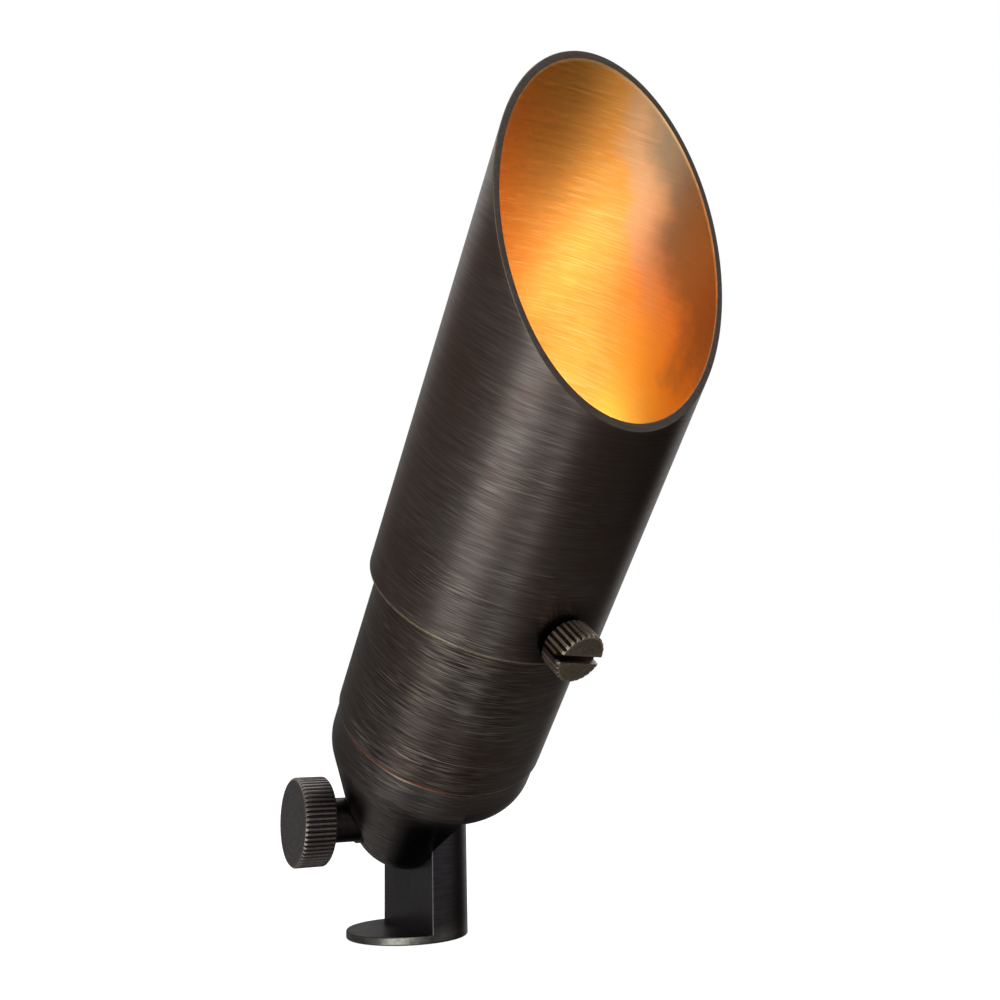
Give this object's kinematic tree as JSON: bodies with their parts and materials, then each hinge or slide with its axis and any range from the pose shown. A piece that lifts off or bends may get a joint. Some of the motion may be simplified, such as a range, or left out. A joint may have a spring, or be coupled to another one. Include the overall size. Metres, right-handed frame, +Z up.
{
  "type": "landscape spotlight",
  "caption": "Cylindrical landscape spotlight of dark antique brass with a long slant-cut shroud, a tilting neck on a half-round post, and knurled clamp screws.",
  "frame": {"origin": "centre of the foot's flat underside", "axes": "+Z up along the post, +X along the tilt axis away from the knob, the head leans towards -Y in the rest pose"},
  "size_m": [0.0649, 0.134, 0.2059],
  "materials": {
    "dark_brass": "dark antique bronze, turned brush lines, worn edges",
    "knob_brass": "dark antique bronze, straight knurl",
    "worn_brass": "antique bronze worn to brass on the knurl and face",
    "ring_brass": "antique bronze, satin",
    "contact_brass": "bright",
    "washer_steel": "dull",
    "zinc_steel": "zinc plated",
    "pin_steel": "bright",
    "red_silicone": "soft satin",
    "grey_silicone": "soft satin",
    "black_rubber": "matt",
    "pad_plastic": "matt",
    "socket_ceramic": "unglazed",
    "lamp_mirror": "mirror coated glass",
    "burner_glass": "clear",
    "cover_glass": "clear",
    "lens_glass": "clear tempered"
  },
  "bodies": {
    "base": {"base_bracket": "dark_brass", "swivel_oring": "grey_silicone"},
    "washer": {"knob_washer": "washer_steel"},
    "knob": {"tilt_knob": "knob_brass"},
    "head": {"base_cap": "dark_brass", "swivel_washer": "washer_steel", "cap_oring": "red_silicone", "wire_grommet": "black_rubber", "socket_bracket": "zinc_steel", "bracket_screws": "zinc_steel", "socket_rivet": "zinc_steel", "lamp_socket": "socket_ceramic", "socket_contacts": "contact_brass", "lamp_pins": "pin_steel", "lamp_base": "socket_ceramic", "lamp_reflector": "lamp_mirror", "lamp_burner": "burner_glass", "lamp_cover": "cover_glass", "body_tube": "dark_brass", "lens_gasket": "grey_silicone", "lens": "lens_glass", "lens_ring": "ring_brass"},
    "slider": {"shroud_ring": "grey_silicone"},
    "hood": {"shroud": "dark_brass"},
    "pad": {"thumb_pad": "pad_plastic"},
    "thumb": {"thumbscrew": "worn_brass"}
  },
  "joints": [
    {"name": "head_tilt", "type": "hinge", "parent": "base", "child": "head", "pos_m": [0, 0, 0.032], "axis": [1, 0, 0], "range_deg": [-132, 48]},
    {"name": "knob_travel", "type": "slide", "parent": "base", "child": "washer", "axis": [-1, 0, 0], "range_m": [0, 0.00125]},
    {"name": "knob_turn", "type": "hinge", "parent": "washer", "child": "knob", "pos_m": [0, 0, 0.032], "axis": [-1, 0, 0], "range_deg": [0, 360]},
    {"name": "shroud_slide", "type": "slide", "parent": "head", "child": "slider", "axis": [0, -0.6691, 0.7431], "range_m": [-0.038, 0.02]},
    {"name": "shroud_turn", "type": "hinge", "parent": "slider", "child": "hood", "pos_m": [0, 0, 0.032], "axis": [0, -0.6691, 0.7431], "continuous": true},
    {"name": "thumb_travel", "type": "slide", "parent": "hood", "child": "pad", "axis": [0.153, -0.7344, -0.6613], "range_m": [0, 0.0016]},
    {"name": "thumb_turn", "type": "hinge", "parent": "pad", "child": "thumb", "pos_m": [0, -0.05708, 0.09539], "axis": [0.153, -0.7344, -0.6613], "range_deg": [0, 720]}
  ],
  "couplings": [
    {"joint": "knob_turn", "follows": "knob_travel", "rad_per_m": 5026.5},
    {"joint": "thumb_turn", "follows": "thumb_travel", "rad_per_m": 7854}
  ]
}
